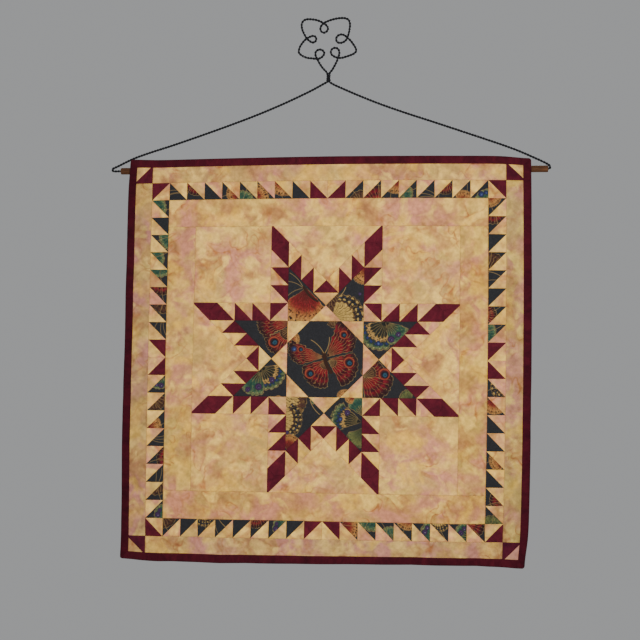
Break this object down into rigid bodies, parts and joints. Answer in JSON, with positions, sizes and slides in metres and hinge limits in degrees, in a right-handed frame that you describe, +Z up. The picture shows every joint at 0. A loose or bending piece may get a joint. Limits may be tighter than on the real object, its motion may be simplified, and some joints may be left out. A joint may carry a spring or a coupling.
{
  "type": "wall quilt on a hanger",
  "caption": "Square feathered-star patchwork wall quilt hung by a back sleeve from a wooden dowel, held by a twisted black wire hanger with a looped flower top.",
  "frame": {"origin": "the hanging point: the inside top of the small loop at the top of the wire flower, where a nail holds the hanger", "axes": "+X to the right and along the dowel, +Y towards the wall, +Z up; the quilt's front faces -Y"},
  "size_m": [0.6386, 0.0154, 0.7855],
  "materials": {
    "black_wire": "satin black coated wire, two strands twisted together",
    "dowel_wood": "stained hardwood dowel with a fine straight grain",
    "cream_batik": "mottled cream, peach and pink cotton batik",
    "burgundy_cloth": "burgundy tone-on-tone quilting cotton",
    "butterfly_print": "charcoal-black cotton printed with red, orange, gold and green butterflies",
    "batting": "thin cotton wadding"
  },
  "bodies": {
    "hanger": {"flower_wire": "black_wire", "left_arm": "black_wire", "right_arm": "black_wire", "left_hook": "black_wire", "right_hook": "black_wire"},
    "dowel": {"dowel": "dowel_wood"},
    "quilt": {"hanging_sleeve": "cream_batik", "backing": "cream_batik", "batting": "batting", "star_centre": "butterfly_print", "star_point_1": "butterfly_print", "tip_diamond_1": "burgundy_cloth", "feather_strip_1": "burgundy_cloth", "star_point_2": "butterfly_print", "tip_diamond_2": "burgundy_cloth", "feather_strip_2": "burgundy_cloth", "star_point_3": "butterfly_print", "tip_diamond_3": "burgundy_cloth", "feather_strip_3": "burgundy_cloth", "star_point_4": "butterfly_print", "tip_diamond_4": "burgundy_cloth", "feather_strip_4": "burgundy_cloth", "star_point_5": "butterfly_print", "tip_diamond_5": "burgundy_cloth", "feather_strip_5": "burgundy_cloth", "star_point_6": "butterfly_print", "tip_diamond_6": "burgundy_cloth", "feather_strip_6": "burgundy_cloth", "star_point_7": "butterfly_print", "tip_diamond_7": "burgundy_cloth", "feather_strip_7": "burgundy_cloth", "star_point_8": "butterfly_print", "tip_diamond_8": "burgundy_cloth", "feather_strip_8": "burgundy_cloth", "corner_square_1": "cream_batik", "side_triangle_1": "cream_batik", "corner_square_2": "cream_batik", "side_triangle_2": "cream_batik", "corner_square_3": "cream_batik", "side_triangle_3": "cream_batik", "corner_square_4": "cream_batik", "side_triangle_4": "cream_batik", "frame_strip_top": "cream_batik", "sawtooth_top": "butterfly_print", "outer_border_top": "cream_batik", "binding_top": "burgundy_cloth", "frame_strip_bottom": "cream_batik", "sawtooth_bottom": "butterfly_print", "outer_border_bottom": "cream_batik", "binding_bottom": "burgundy_cloth", "frame_strip_left": "cream_batik", "sawtooth_left": "butterfly_print", "outer_border_left": "cream_batik", "binding_left": "burgundy_cloth", "frame_strip_right": "cream_batik", "sawtooth_right": "butterfly_print", "outer_border_right": "cream_batik", "binding_right": "burgundy_cloth"}
  },
  "joints": [
    {"name": "dowel_turn", "type": "hinge", "parent": "hanger", "child": "dowel", "pos_m": [0.0125, 0, -0.213], "axis": [-1, 0, 0], "range_deg": [0, 90]},
    {"name": "quilt_slide", "type": "slide", "parent": "dowel", "child": "quilt", "axis": [1, 0, 0], "range_m": [-0.008, 0.008]}
  ]
}
